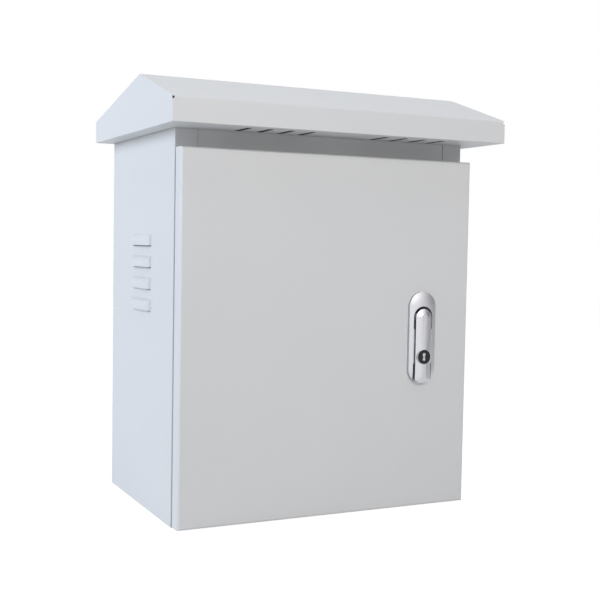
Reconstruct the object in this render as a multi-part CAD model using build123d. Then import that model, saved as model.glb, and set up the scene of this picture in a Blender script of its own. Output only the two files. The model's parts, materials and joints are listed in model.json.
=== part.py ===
from build123d import *
import os

# Outdoor utility cabinet of folded steel sheet, with a rain hood and a swing lever lock.
# Millimetres. Z is up and the door faces -Y. The origin is the centre of the body's bottom face.

os.makedirs("parts", exist_ok=True)

# Body
body_width = 400.0
body_depth = 255.0
body_height = 500.0
sheet = 1.5
body_bend = 1.8
frame_flange = 28.5
seam = 0.5
header_height = 80.0
sill_height = 40.0
gutter_lip = 9.5
lip_end_gap = 0.3
tab_reach = 16.0
tab_inset = 4.0
wall_hole = 9.0
wall_hole_side = 30.0
wall_hole_end = 45.0

# Side louvres, pressed outward and open at the bottom
louvre_count = 4
louvre_pitch = 27.2
louvre_above_middle = 3.0
louvre_centre_y = -5.0
louvre_length = 77.0
louvre_height = 14.0
louvre_bulge = 5.4
louvre_taper = 9.0
louvre_slot = 1.7

# Rain hood
hood_side = 24.0
hood_front = 62.5
hood_back = 5.0
hood_drop = 25.0
skirt = 26.5
ridge_rise = 39.5
ridge_setback = 60.5
hood_bend = 2.5
relief_radius = 2.0
relief_depth = 1.5
soffit_gap = 0.3
soffit_collar = 12.0
slot_count = 4
slot_pitch = 27.5
slot_width = 4.0
slot_length = 35.0
slot_to_body = 3.5
slot_left_inset = 117.25
slot_right_inset = 99.25

# Rails that carry the hood on the body's top
rail_inset = 50.0
rail_sheet = 2.0
rail_foot = 22.0
rail_front_inset = 22.5
rail_back_inset = 67.5
rail_bolt_inset = 20.0

# Door
door_below_top = 50.0
door_bottom = 1.5
door_proud = 24.0
door_gap = 3.5
door_bend = 3.5
seal_width = 12.0
seal_gap = 0.3
seal_corner = 8.0

# Concealed hinges
pivot_inset = 6.0
pivot_behind_face = 12.0
hinge_low = 75.0
hinge_below_top = 125.0
knuckle_radius = 3.8
hinge_pin_radius = 2.0
hinge_play = 0.15
knuckle_height = 24.0
knuckle_gap = 0.3
hinge_height = 44.0
hinge_plate = 2.5
hinge_web_offset = 11.8
hinge_foot = 10.0
leaf_width = 15.8
leaf_left = -2.3
leaf_height = 40.0
hinge_screw_span = 30.0

# Mounting plate on four studs
plate_side_gap = 40.0
plate_end_gap = 50.0
plate_thick = 2.0
plate_corner = 10.0
plate_hole_inset = 20.0
plate_standoff = 20.0
stud_radius = 4.0
stud_length = 34.0
spacer_radius = 8.0

# Cable entry in the floor
gland_width = 250.0
gland_depth = 120.0
gland_back_gap = 7.5
gland_thick = 2.0
gland_seal = 3.0
gland_margin = 15.0
gland_corner = 6.0
gland_stud_radius = 2.5
gland_stud_length = 13.0
entry_bore = 18.0
entry_neck = 28.0
entry_flange = 34.0
entry_pitch = 70.0
entry_below = 2.3

# Earth studs
earth_radius = 3.0
earth_length = 20.0
door_stud_length = 12.0
earth_from_side = 50.0
earth_from_front = 42.5
door_earth_from_side = 60.0
door_earth_z = 80.0

# Lock. Heights here are measured outward from the door's front face.
lock_from_side = 71.5
lock_below_middle = 28.5
lock_length = 119.0
lock_width = 39.0
lock_crown = 6.5
lock_round = 76.0
lock_wall = 2.2
lock_edge = 2.2
tray_floor = 1.8
tray_half = 13.75
rest_floor = 2.8
rest_clear = 15.5
finger_room = 26.5
pad_play = 0.25
pad_thick = 0.4
pad_above = 5.0
spindle_from_end = 32.5
collar_radius = 11.0
collar_depth = 14.0
journal_radius = 6.0
journal_play = 0.2
hub_radius = 7.2
hub_seat = 1.0
hub_play = 0.2
hole_play = 0.3
lock_stud_from_end = 16.0
lock_stud_radius = 3.0
lock_stud_length = 11.0
lock_seal_thick = 0.8
lock_seal_inset = 2.5
lock_seal_width = 2.2
clamp_thick = 2.0
clamp_half = 14.0
ring_nut_across = 27.0
ring_nut_thick = 4.0

# Lever
lever_half = 10.5
lever_under = 6.6
lever_edge = 0.6
lever_top = 9.8
lever_flat = 3.0
lever_end_inset = 1.75
boss_radius = 10.0
boss_bottom = 3.6
boss_above_pin = 3.5
pin_height = 5.2
pin_radius = 1.3
pin_half = 8.5
pin_play = 0.15
tongue_half = 3.5
tongue_round = 2.7
slot_play = 0.3
slot_half_length = 5.5
grip_hollow = 1.3
grip_half = 7.5
grip_margin = 2.0

# Key cylinder in the lever
key_from_end = 35.3
key_boss_radius = 9.6
barrel_radius = 7.0
barrel_bottom = 5.8
barrel_floor = 0.8
barrel_fit = 0.1
plug_radius = 5.5
plug_play = 0.15
plug_recess = 0.2
cap_radius = 9.2
cap_thick = 1.1
window_top_radius = 2.3
window_foot_radius = 2.0
window_waist = 1.5
window_top = 2.8
window_foot = -3.0
key_slot_width = 0.7
key_slot_length = 6.0
key_slot_depth = 1.8

# Spindle behind the door and the cam
cam_gap = 1.0
cam_thick = 3.0
cam_half = 9.0
cam_reach = 54.0
cam_square = 8.0
spindle_end_radius = 3.0
spindle_end = 9.0
clip_radius = 8.5
clip_groove_radius = 5.2
clip_thick = 1.2
clip_play = 0.3

# Standard fasteners
m4_radius = 2.0
m4_hole = 2.15
m4_across = 6.5
m4_nut = 3.2
screw_head_radius = 3.4
screw_head = 3.0
screw_socket = 2.5
screw_socket_depth = 1.6
screw_behind = 8.0
m5_across = 8.0
m5_nut = 4.5
m6_across = 10.0
m6_nut = 5.0
m6_head = 4.0
m6_washer = 1.2
m8_across = 13.0
m8_nut = 6.5
m8_washer = 1.6
bolt_past_rail = 9.0
pin_head = 1.5
pin_head_lip = 1.2
pin_below = 2.0
cam_washer_radius = 8.0
cam_washer_thick = 1.5

# Places that several pieces share
half_width = body_width / 2
front = -body_depth / 2
back = body_depth / 2
opening_half = half_width - frame_flange
opening_low = sill_height
opening_high = body_height - header_height
lip_tip = front - gutter_lip
door_face = front - door_proud
door_inner = door_face + sheet
door_rear = front - door_gap
pivot_x = -half_width + pivot_inset
pivot_y = door_face + pivot_behind_face
cam_front = front + sheet + cam_gap
hood_bottom = body_height - hood_drop
door_top = body_height - door_below_top
hinge_high = body_height - hinge_below_top
louvre_first = body_height / 2 + louvre_above_middle
rail_x = half_width - rail_inset
rail_front = front + rail_front_inset
rail_back = back - rail_back_inset
plate_width = body_width - 2 * plate_side_gap
plate_height = body_height - 2 * plate_end_gap
plate_centre_z = body_height / 2
gland_y = back - gland_back_gap - gland_depth / 2
body_earth_x = earth_from_side - half_width
body_earth_y = front + earth_from_front
door_earth_x = door_earth_from_side - half_width
lock_x = half_width - lock_from_side
lock_mid = body_height / 2 - lock_below_middle
lock_low = lock_mid - lock_length / 2
lock_high = lock_mid + lock_length / 2
spindle_z = lock_high - spindle_from_end
lock_stud_z = lock_low + lock_stud_from_end
key_z = lock_low + key_from_end


def block(x0, x1, y0, y1, z0, z1):
    # A box between two opposite corners
    size = Box(x1 - x0, y1 - y0, z1 - z0)
    return Pos((x0 + x1) / 2, (y0 + y1) / 2, (z0 + z1) / 2) * size


def upright(x, y, radius, z0, z1):
    # A cylinder along Z
    return Pos(x, y, (z0 + z1) / 2) * Cylinder(radius, z1 - z0)


def level(x, z, radius, y0, y1):
    # A cylinder along Y
    return Pos(x, (y0 + y1) / 2, z) * Rot(90, 0, 0) * Cylinder(radius, y1 - y0)


def upright_nut(x, y, across, radius, z0, z1):
    # A hexagon nut on an upright thread
    prism = extrude(RegularPolygon(across / 2, 6, major_radius=False), z1 - z0)
    return Pos(x, y, z0) * prism - upright(x, y, radius, z0 - 1, z1 + 1)


def level_nut(x, z, across, radius, y0, y1):
    # A hexagon nut on a thread along Y
    prism = extrude(RegularPolygon(across / 2, 6, major_radius=False), y1 - y0)
    placed = Pos(x, y1, z) * Rot(90, 0, 0) * prism
    return placed - level(x, z, radius, y0 - 1, y1 + 1)


def outward(shape):
    # Sets a shape drawn in lock axes (x, height on the door, outward) on the door's face
    return Pos(lock_x, door_face, 0) * Rot(90, 0, 0) * shape


def disc(z, radius, w0, w1, x=0.0):
    # A cylinder in lock axes, from w0 to w1 outward
    return Pos(x, z, (w0 + w1) / 2) * Cylinder(radius, w1 - w0)


def slab(x0, x1, z0, z1, w0, w1):
    # A box in lock axes
    return Pos((x0 + x1) / 2, (z0 + z1) / 2, (w0 + w1) / 2) * Box(x1 - x0, z1 - z0, w1 - w0)


def save(name, *shapes):
    solids = []
    for shape in shapes:
        solids.extend(shape.solids())
    export_step(Compound(children=solids), "parts/" + name + ".step")


# Louvre: a side profile and a plan profile, each pulled through the other
def louvre_form(bulge, height, length, taper, inward):
    side = make_face(
        [
            Line((-inward, 0), (bulge, 0)),
            ThreePointArc((bulge, 0), (0.82 * bulge, 0.6 * height), (0, height)),
            Line((0, height), (-inward, height)),
            Line((-inward, height), (-inward, 0)),
        ]
    )
    end = length / 2
    plan = make_face(
        [
            Line((-inward, -end), (0, -end)),
            ThreePointArc((0, -end), (0.8 * bulge, 0.55 * taper - end), (bulge, taper - end)),
            Line((bulge, taper - end), (bulge, end - taper)),
            ThreePointArc((bulge, end - taper), (0.8 * bulge, end - 0.55 * taper), (0, end)),
            Line((0, end), (-inward, end)),
            Line((-inward, end), (-inward, -end)),
        ]
    )
    pulled_side = Rot(90, 0, 0) * extrude(side, end, both=True)
    return pulled_side & extrude(plan, height)


louvre_skin = louvre_form(louvre_bulge, louvre_height, louvre_length, louvre_taper, sheet / 2)
louvre_void = louvre_form(
    louvre_bulge - sheet,
    louvre_height - sheet,
    louvre_length - 2 * sheet,
    louvre_taper - sheet / 2,
    2 * sheet,
)

# Body wrap: sides, back and front flanges from one folded sheet
wrap_outline = RectangleRounded(body_width, body_depth, body_bend)
wrap_outline -= RectangleRounded(body_width - 2 * sheet, body_depth - 2 * sheet, body_bend - sheet)
wrap_outline -= Pos(0, front) * Rectangle(2 * opening_half, 4 * sheet)
body_wrap = extrude(wrap_outline, body_height)
for side in (-1, 1):
    edges = sorted((side * opening_half, side * (opening_half - sheet)))
    lip_low, lip_high = opening_low + lip_end_gap, opening_high - lip_end_gap
    body_wrap += block(edges[0], edges[1], lip_tip, front + sheet, lip_low, lip_high)
for step in range(louvre_count):
    line_z = louvre_first + step * louvre_pitch
    place = Pos(half_width, louvre_centre_y, line_z)
    skin = place * louvre_skin
    void = place * louvre_void
    body_wrap = body_wrap - void - mirror(void, Plane.YZ)
    body_wrap = body_wrap + (skin - void) + mirror(skin - void, Plane.YZ)
    slot_half_y = louvre_length / 2 - sheet
    slot_y0, slot_y1 = louvre_centre_y - slot_half_y, louvre_centre_y + slot_half_y
    under = block(half_width - 2 * sheet, half_width + 1, slot_y0, slot_y1, line_z - louvre_slot, line_z + 1)
    under -= skin
    body_wrap = body_wrap - under - mirror(under, Plane.YZ)
wall_holes = GridLocations(body_width - 2 * wall_hole_side, body_height - 2 * wall_hole_end, 2, 2)
for spot in wall_holes:
    hole_x, hole_z = spot.position.X, spot.position.Y + body_height / 2
    body_wrap -= level(hole_x, hole_z, wall_hole / 2, back - 2 * sheet, back + sheet)


# Top and bottom panels, each with a front strip, a gutter lip and two weld tabs
def end_panel(plate_z0, plate_z1, strip_z0, strip_z1, lip_z0, lip_z1):
    inner_corner = body_bend - sheet
    plate = extrude(
        RectangleRounded(body_width - 2 * sheet, body_depth - 2 * sheet, inner_corner),
        plate_z1 - plate_z0,
    )
    strip_half = opening_half - seam
    panel = Pos(0, 0, plate_z0) * plate
    panel += block(-strip_half, strip_half, front, front + sheet, strip_z0, strip_z1)
    panel += block(-strip_half, strip_half, lip_tip, front + sheet, lip_z0, lip_z1)
    for side in (-1, 1):
        ends = sorted((side * (opening_half - tab_reach / 2), side * (opening_half + tab_reach)))
        low = strip_z0 + tab_inset
        high = strip_z1 - tab_inset
        panel += block(ends[0], ends[1], front + sheet, front + 2 * sheet, low, high)
    return panel


rail_bolts = []
for side in (-1, 1):
    for bolt_y in (rail_front + rail_bolt_inset, rail_back - rail_bolt_inset):
        rail_bolts.append((side * (rail_x + rail_foot / 2), bolt_y))
body_top = end_panel(
    body_height - sheet, body_height, opening_high, body_height, opening_high, opening_high + sheet
)
for bolt_x, bolt_y in rail_bolts:
    hole_low, hole_high = body_height - 2 * sheet, body_height + sheet
    body_top -= upright(bolt_x, bolt_y, earth_radius + hole_play, hole_low, hole_high)
save("body_top", body_top)

body_bottom = end_panel(0, sheet, 0, opening_low, opening_low - sheet, opening_low)
cutout_width = gland_width - 2 * gland_margin
cutout_depth = gland_depth - 2 * gland_margin
cutout_x = cutout_width / 2
cutout_front = gland_y - cutout_depth / 2
cutout_back = gland_y + cutout_depth / 2
body_bottom -= block(-cutout_x, cutout_x, cutout_front, cutout_back, -sheet, 2 * sheet)

# The sheet is stored as four solids round its square cut-out, so that each one is simple
above_lip = opening_low + sheet
in_front = body_bottom & block(-half_width, half_width, lip_tip - 1, cutout_front, -1, above_lip)
behind = body_bottom & block(-half_width, half_width, cutout_back, back, -1, above_lip)
beside_left = body_bottom & block(-half_width, -cutout_x, cutout_front, cutout_back, -1, above_lip)
beside_right = body_bottom & block(cutout_x, half_width, cutout_front, cutout_back, -1, above_lip)
save("body_bottom", in_front, behind, beside_left, beside_right)

# Rain hood: slopes, skirts and gable ends, open below
hood_half = half_width + hood_side
hood_y0 = front - hood_front
hood_y1 = back + hood_back
eaves = hood_bottom + skirt
ridge_y = front + ridge_setback
ridge_z = eaves + ridge_rise
gable = make_face(
    Polyline(
        (hood_y0, hood_bottom),
        (hood_y0, eaves),
        (ridge_y, ridge_z),
        (hood_y1, eaves),
        (hood_y1, hood_bottom),
        close=True,
    )
)
roof_corners = gable.vertices().filter_by(lambda v: v.Y > hood_bottom + 1)
gable_inside = offset(gable, -sheet, kind=Kind.INTERSECTION)
gable_skin = fillet(roof_corners, hood_bend)
void_y0, void_y1 = hood_y0 + sheet, hood_y1 - sheet


def along_x(profile, x0, x1):
    # Pulls a profile drawn in (y, z) along X
    return Plane.YZ.offset(x0) * extrude(profile, x1 - x0)


rain_hood = along_x(gable_skin, -hood_half, hood_half)
rain_hood -= along_x(gable_inside, sheet - hood_half, hood_half - sheet)
rain_hood -= block(sheet - hood_half, hood_half - sheet, void_y0, void_y1, hood_bottom - sheet, eaves - sheet)
relief = Rot(0, 90, 0) * Cylinder(relief_radius, 2 * relief_depth)
for side in (-1, 1):
    rain_hood -= Pos(side * hood_half, hood_y0 + relief_radius, eaves - relief_radius) * relief
save("rain_hood", rain_hood)

# Soffit: closes the hood from below round the body, with straight vent slots in front
soffit_half = hood_half - sheet
soffit = block(-soffit_half, soffit_half, void_y0, void_y1, hood_bottom, hood_bottom + sheet)
collar_half = half_width + soffit_gap + sheet
collar_y = back + soffit_gap + sheet
soffit += block(-collar_half, collar_half, -collar_y, collar_y, hood_bottom, hood_bottom + soffit_collar)
soffit -= block(
    sheet - collar_half,
    collar_half - sheet,
    sheet - collar_y,
    collar_y - sheet,
    hood_bottom - sheet,
    hood_bottom + 2 * soffit_collar,
)
slot_y = front - slot_to_body - slot_length / 2
vent = extrude(SlotOverall(slot_length, slot_width, rotation=90), 4 * sheet)
for group_x in (slot_left_inset - half_width, half_width - slot_right_inset):
    for slot_at in GridLocations(slot_pitch, 1, slot_count, 1):
        soffit -= Pos(group_x + slot_at.position.X, slot_y, hood_bottom - sheet) * vent
save("hood_soffit", soffit)

# Hood rails: angle brackets, cut to the slopes
rails = []
rail_window = Pos((rail_front + rail_back) / 2, body_height + ridge_rise) * Rectangle(
    rail_back - rail_front, 2 * ridge_rise
)
rail_profile = gable_inside & rail_window
for side in (-1, 1):
    ends = sorted((side * rail_x, side * (rail_x + rail_sheet)))
    foot = sorted((side * rail_x, side * (rail_x + rail_foot)))
    rail = along_x(rail_profile, ends[0], ends[1])
    rail += block(foot[0], foot[1], rail_front, rail_back, body_height, body_height + rail_sheet)
    for bolt_x, bolt_y in rail_bolts:
        foot_top = body_height + 2 * rail_sheet
        rail -= upright(bolt_x, bolt_y, earth_radius + hole_play, body_height - 1, foot_top)
    rails.append(rail)
save("hood_rails", *rails)

hood_bolts = []
hood_nuts = []
for bolt_x, bolt_y in rail_bolts:
    under = body_height - sheet
    above = body_height + rail_sheet
    head = extrude(RegularPolygon(m6_across / 2, 6, major_radius=False), m6_head)
    bolt = Pos(bolt_x, bolt_y, under - m6_head) * head
    bolt += upright(bolt_x, bolt_y, earth_radius, under - m6_head / 2, above + bolt_past_rail)
    hood_bolts.append(bolt)
    hood_nuts.append(upright_nut(bolt_x, bolt_y, m6_across, earth_radius, above, above + m6_nut))
save("hood_bolts", *hood_bolts)
save("hood_nuts", *hood_nuts)

# Mounting plate with its studs, spacers, washers and nuts
stud_base = back - sheet
plate_back = stud_base - plate_standoff
plate_front = plate_back - plate_thick
hole_x = plate_width / 2 - plate_hole_inset
hole_z = plate_height / 2 - plate_hole_inset
plate_spots = [(sx * hole_x, plate_centre_z + sz * hole_z) for sx in (-1, 1) for sz in (-1, 1)]
flat_plate = extrude(RectangleRounded(plate_width, plate_height, plate_corner), plate_thick)
mounting_plate = Pos(0, plate_back, plate_centre_z) * Rot(90, 0, 0) * flat_plate
studs = []
spacers = []
washers = []
nuts = []
for px, pz in plate_spots:
    mounting_plate -= level(px, pz, stud_radius + hole_play, plate_front - 1, plate_back + 1)
    studs.append(level(px, pz, stud_radius, stud_base - stud_length, stud_base))
    tube = level(px, pz, spacer_radius, plate_back, stud_base)
    spacers.append(tube - level(px, pz, stud_radius + hole_play, plate_back - 1, stud_base + 1))
    washer_front = plate_front - m8_washer
    washer = level(px, pz, spacer_radius, washer_front, plate_front)
    washers.append(washer - level(px, pz, stud_radius + hole_play, washer_front - 1, plate_front + 1))
    nuts.append(level_nut(px, pz, m8_across, stud_radius, washer_front - m8_nut, washer_front))
save("mounting_plate", mounting_plate)
save("plate_studs", *studs)
save("plate_spacers", *spacers)
save("plate_washers", *washers)
save("plate_nuts", *nuts)

# Cable entry: gland plate on a flat gasket over the floor cut-out, with rubber grommets
gland_seat = sheet + gland_seal
gland_top = gland_seat + gland_thick
gland_outline = RectangleRounded(gland_width, gland_depth, gland_corner)
gland_spots = []
for spot in GridLocations(cutout_width / 2, gland_depth - gland_margin, 3, 2):
    gland_spots.append((spot.position.X, gland_y + spot.position.Y))
seal_outline = gland_outline - Rectangle(cutout_width, cutout_depth)
gland_gasket = Pos(0, gland_y, sheet) * extrude(seal_outline, gland_seal)
gland_plate = Pos(0, gland_y, gland_seat) * extrude(gland_outline, gland_thick)
gland_studs = []
gland_nuts = []
for gx, gy in gland_spots:
    hole = upright(gx, gy, gland_stud_radius + hole_play, sheet - 1, gland_top + 1)
    gland_gasket -= hole & upright(gx, gy, entry_neck, sheet, gland_seat)
    gland_plate -= hole
    gland_studs.append(upright(gx, gy, gland_stud_radius, sheet, sheet + gland_stud_length))
    gland_nuts.append(upright_nut(gx, gy, m5_across, gland_stud_radius, gland_top, gland_top + m5_nut))
grommets = []
for step in (-1, 0, 1):
    gx = step * entry_pitch
    gland_plate -= upright(gx, gland_y, entry_neck / 2, gland_seat - 1, gland_top + 1)
    section = make_face(
        Polyline(
            (entry_bore / 2, entry_below),
            (entry_flange / 2 - 1.2, entry_below),
            (entry_flange / 2, gland_seat),
            (entry_neck / 2, gland_seat),
            (entry_neck / 2, gland_top),
            (entry_flange / 2, gland_top),
            (entry_flange / 2 - 1.5, gland_top + 2.0),
            (entry_bore / 2 + 1.5, gland_top + 2.6),
            (entry_bore / 2, gland_top + 1.4),
            close=True,
        )
    )
    ring = revolve(Plane.XZ * section, Axis.Z)
    grommets.append(Pos(gx, gland_y, 0) * ring)
save("gland_gasket", gland_gasket)
save("gland_plate", gland_plate)
save("gland_studs", *gland_studs)
save("gland_nuts", *gland_nuts)
save("cable_grommets", *grommets)

# Earth studs with a washer and a nut
earth_top = sheet + earth_length
body_stud = upright(body_earth_x, body_earth_y, earth_radius, sheet, earth_top)
washer_top = sheet + m6_washer
body_washer = upright(body_earth_x, body_earth_y, 2 * earth_radius, sheet, washer_top)
body_washer -= upright(body_earth_x, body_earth_y, earth_radius, 0, earth_top)
body_nut = upright_nut(body_earth_x, body_earth_y, m6_across, earth_radius, washer_top, washer_top + m6_nut)
save("body_earth_stud", body_stud)
save("body_earth_nut", body_washer, body_nut)
stud_y = door_inner + door_stud_length
door_stud = level(door_earth_x, door_earth_z, earth_radius, door_inner, stud_y)
washer_rear = door_inner + m6_washer
door_washer = level(door_earth_x, door_earth_z, 2 * earth_radius, door_inner, washer_rear)
door_washer -= level(door_earth_x, door_earth_z, earth_radius, door_inner - 1, stud_y)
door_nut = level_nut(door_earth_x, door_earth_z, m6_across, earth_radius, washer_rear, washer_rear + m6_nut)
save("door_earth_stud", door_stud)
save("door_earth_nut", door_washer, door_nut)

# Door: a folded pan with soft front edges
pan = block(-half_width, half_width, door_face, door_rear, door_bottom, door_top)
face_edges = pan.faces().sort_by(Axis.Y)[0].edges()
pan = fillet(face_edges, door_bend)
rear_face = pan.faces().sort_by(Axis.Y)[-1]
door_panel = offset(pan, -sheet, openings=rear_face)
collar_hole = level(lock_x, spindle_z, collar_radius + hole_play, door_face - 1, door_inner + 1)
stud_hole = level(lock_x, lock_stud_z, lock_stud_radius + hole_play, door_face - 1, door_inner + 1)
door_panel = door_panel - collar_hole - stud_hole
save("door_panel", door_panel)

# Door gasket: a foamed ring that meets the gutter lip
lip_mid = opening_half - sheet / 2
lip_low = opening_low - sheet / 2
lip_high = opening_high + sheet / 2
ring_height = lip_high - lip_low
seal_ring = RectangleRounded(2 * lip_mid + seal_width, ring_height + seal_width, seal_corner)
seal_ring -= RectangleRounded(2 * lip_mid - seal_width, ring_height - seal_width, seal_corner / 4)
seal_depth = lip_tip - seal_gap - door_inner
seal_place = Pos(0, lip_tip - seal_gap, (lip_low + lip_high) / 2) * Rot(90, 0, 0)
save("door_gasket", seal_place * extrude(seal_ring, seal_depth))

# Hinges: a bracket on the frame, a leaf on the door and a headed pin at each height
brackets = []
leaves = []
pins = []
hinge_screws = []
hinge_nuts = []
for middle in (hinge_low, hinge_high):
    low = middle - hinge_height / 2
    high = middle + hinge_height / 2
    web_x0 = pivot_x + hinge_web_offset
    web_x1 = web_x0 + hinge_plate
    foot_x1 = web_x0 + hinge_foot
    arm_y0 = pivot_y - 1.5
    arm_y1 = arm_y0 + hinge_plate
    bracket = block(web_x0, web_x1, arm_y0, front, low, high)
    bracket += block(web_x0, foot_x1, front - hinge_plate, front, low, high)
    ear_edge = knuckle_height / 2 + knuckle_gap
    for z0, z1 in ((low, middle - ear_edge), (middle + ear_edge, high)):
        bracket += block(pivot_x, web_x1, arm_y0, arm_y1, z0, z1)
        bracket += upright(pivot_x, pivot_y, knuckle_radius, z0, z1)
    bracket -= upright(pivot_x, pivot_y, hinge_pin_radius, low - 1, high + 1)
    screw_x = (web_x1 + foot_x1) / 2
    for screw_z in (middle - hinge_screw_span / 2, middle + hinge_screw_span / 2):
        seat = front - hinge_plate
        inside = front + sheet
        bracket -= level(screw_x, screw_z, m4_hole, seat - 1, front + 1)
        body_wrap -= level(screw_x, screw_z, m4_hole, front - 1, inside + 1)
        screw = level(screw_x, screw_z, screw_head_radius, seat - screw_head, seat)
        screw += level(screw_x, screw_z, m4_radius, seat - 1, front + screw_behind)
        socket = extrude(RegularPolygon(screw_socket / 2, 6, major_radius=False), 2 * screw_socket_depth)
        screw -= Pos(screw_x, seat - screw_head + screw_socket_depth, screw_z) * Rot(90, 0, 0) * socket
        hinge_screws.append(screw)
        hinge_nuts.append(level_nut(screw_x, screw_z, m4_across, m4_radius, inside, inside + m4_nut))
    brackets.append(bracket)
    leaf_low = middle - knuckle_height / 2
    leaf_high = middle + knuckle_height / 2
    leaf = upright(pivot_x, pivot_y, knuckle_radius, leaf_low, leaf_high)
    leaf += block(pivot_x - 1.5, pivot_x + 1.5, door_inner, pivot_y, leaf_low, leaf_high)
    foot_x0 = pivot_x + leaf_left
    foot_half = leaf_height / 2
    leaf_rear = door_inner + hinge_plate
    leaf += block(
        foot_x0, foot_x0 + leaf_width, door_inner, leaf_rear, middle - foot_half, middle + foot_half
    )
    leaf -= upright(pivot_x, pivot_y, hinge_pin_radius + hinge_play, low, high)
    leaves.append(leaf)
    pin = upright(pivot_x, pivot_y, hinge_pin_radius, low - pin_below, high)
    pin += upright(pivot_x, pivot_y, hinge_pin_radius + pin_head_lip, high, high + pin_head)
    pins.append(pin)
save("body_wrap", body_wrap)
save("hinge_brackets", *brackets)
save("hinge_leaves", *leaves)
save("hinge_pins", *pins)
save("hinge_screws", *hinge_screws)
save("hinge_nuts", *hinge_nuts)

# Lock base: a long domed casting with a tray, a bearing collar and a rear stud
lock_half = lock_width / 2
end_low = lock_low + lock_half
end_high = lock_high - lock_half


def obround(inset, w0, w1):
    # The base's outline, drawn in by an inset, from w0 to w1 outward
    plan = SlotOverall(lock_length - 2 * inset, lock_width - 2 * inset, rotation=90)
    return Pos(0, lock_mid, w0) * extrude(plan, w1 - w0)


def crown_at(x):
    # Height of the domed top above the door at a distance from the middle line
    return lock_crown - lock_round + (lock_round ** 2 - x ** 2) ** 0.5


edge_x = lock_half - lock_edge
edge_w = crown_at(edge_x)
bulge = 0.5 ** 0.5
half_dome = make_face(
    [
        Line((0, 0), (lock_half, 0)),
        Line((lock_half, 0), (lock_half, lock_wall)),
        ThreePointArc(
            (lock_half, lock_wall),
            (edge_x + bulge * lock_edge, lock_wall + bulge * (edge_w - lock_wall)),
            (edge_x, edge_w),
        ),
        ThreePointArc((edge_x, edge_w), (edge_x / 2, crown_at(edge_x / 2)), (0, lock_crown)),
        Line((0, lock_crown), (0, 0)),
    ]
)
half_bar = Pos(0, end_high, 0) * Rot(90, 0, 0) * extrude(half_dome, end_high - end_low)
lock_base = half_bar + mirror(half_bar, Plane.YZ)
dome_end = revolve(Plane.XZ * half_dome, Axis.Z)
lock_base += Pos(0, end_low, 0) * dome_end + Pos(0, end_high, 0) * dome_end
above = lock_crown + 2
rest_low = lock_low + finger_room
rest_high = spindle_z - rest_clear
lock_base -= slab(-tray_half, tray_half, lock_low - 1, rest_low, tray_floor, above)
lock_base -= slab(-tray_half, tray_half, rest_high, spindle_z, tray_floor, above)
lock_base -= slab(-tray_half, tray_half, rest_low, rest_high, rest_floor, above)
lock_base -= disc(spindle_z, tray_half, tray_floor, above)
lock_base += disc(spindle_z, collar_radius, -collar_depth, tray_floor)
lock_base += disc(lock_stud_z, lock_stud_radius, -lock_stud_length, tray_floor / 2)
lock_base -= disc(spindle_z, hub_radius + hole_play, -hub_seat, above)
lock_base -= disc(spindle_z, journal_radius + journal_play, -collar_depth - 1, above)
pad = disc(spindle_z, tray_half - pad_play, tray_floor, tray_floor + pad_thick)
pad -= disc(spindle_z, hub_radius + hole_play + pad_play, 0, above)
pad &= slab(-tray_half, tray_half, spindle_z + pad_above, spindle_z + tray_half, 0, above)
save("lever_pad", outward(pad))
seal_inner = lock_seal_inset + lock_seal_width
lock_seal = obround(lock_seal_inset, 0, lock_seal_thick) - obround(seal_inner, -1, 2)
lock_base -= lock_seal
save("lock_base", outward(lock_base))
save("lock_gasket", outward(lock_seal))

clamp_face = -sheet - clamp_thick
clamp = slab(-clamp_half, clamp_half, lock_stud_z - clamp_half, spindle_z + clamp_half, clamp_face, -sheet)
clamp = fillet(clamp.edges().filter_by(Axis.Z), 4.0)
clamp -= disc(spindle_z, collar_radius + hole_play, clamp_face - 1, 0)
clamp -= disc(lock_stud_z, lock_stud_radius + hole_play, clamp_face - 1, 0)
save("lock_clamp_plate", outward(clamp))


def lock_nut(z, across, radius, w0, w1):
    prism = extrude(RegularPolygon(across / 2, 6, major_radius=False), w1 - w0)
    return Pos(0, z, w0) * prism - disc(z, radius, w0 - 1, w1 + 1)


ring_nut = lock_nut(spindle_z, ring_nut_across, collar_radius, clamp_face - ring_nut_thick, clamp_face)
stud_nut = lock_nut(lock_stud_z, m6_across, lock_stud_radius, clamp_face - m6_nut, clamp_face)
save("lock_ring_nut", outward(ring_nut))
save("lock_stud_nut", outward(stud_nut))

# Spindle: hub with a tongue in front, journal, square for the cam and a threaded end
cam_w1 = door_face - cam_front
cam_w0 = cam_w1 - cam_thick
spindle = disc(spindle_z, hub_radius, hub_play - hub_seat, tray_floor)
spindle += disc(spindle_z, journal_radius, cam_w1, 0)
spindle += slab(-tongue_half, tongue_half, spindle_z - tongue_round, spindle_z + tongue_round, 0, pin_height)
knob = Pos(0, spindle_z, pin_height) * Rot(0, 90, 0) * Cylinder(tongue_round, 2 * tongue_half)
spindle += knob
eye = Pos(0, spindle_z, pin_height) * Rot(0, 90, 0) * Cylinder(pin_radius + pin_play, 4 * tongue_half)
spindle -= eye
half_square = cam_square / 2
square_low, square_high = spindle_z - half_square, spindle_z + half_square
spindle += slab(-half_square, half_square, square_low, square_high, cam_w0, cam_w1)
spindle += disc(spindle_z, spindle_end_radius, cam_w0 - spindle_end, cam_w0 + 1)
clip_w1 = -collar_depth - clip_play
clip_w0 = clip_w1 - clip_thick
clip_band = disc(spindle_z, journal_radius + 1, clip_w0, clip_w1)
spindle -= clip_band - disc(spindle_z, clip_groove_radius, clip_w0 - 1, clip_w1 + 1)
clip = disc(spindle_z, clip_radius, clip_w0, clip_w1)
clip -= disc(spindle_z, clip_groove_radius, clip_w0 - 1, clip_w1 + 1)
clip -= slab(-2.0, 2.0, spindle_z, spindle_z + 2 * clip_radius, clip_w0 - 1, clip_w1 + 1)
save("lock_spindle", outward(spindle))
save("spindle_clip", outward(clip))

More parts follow.
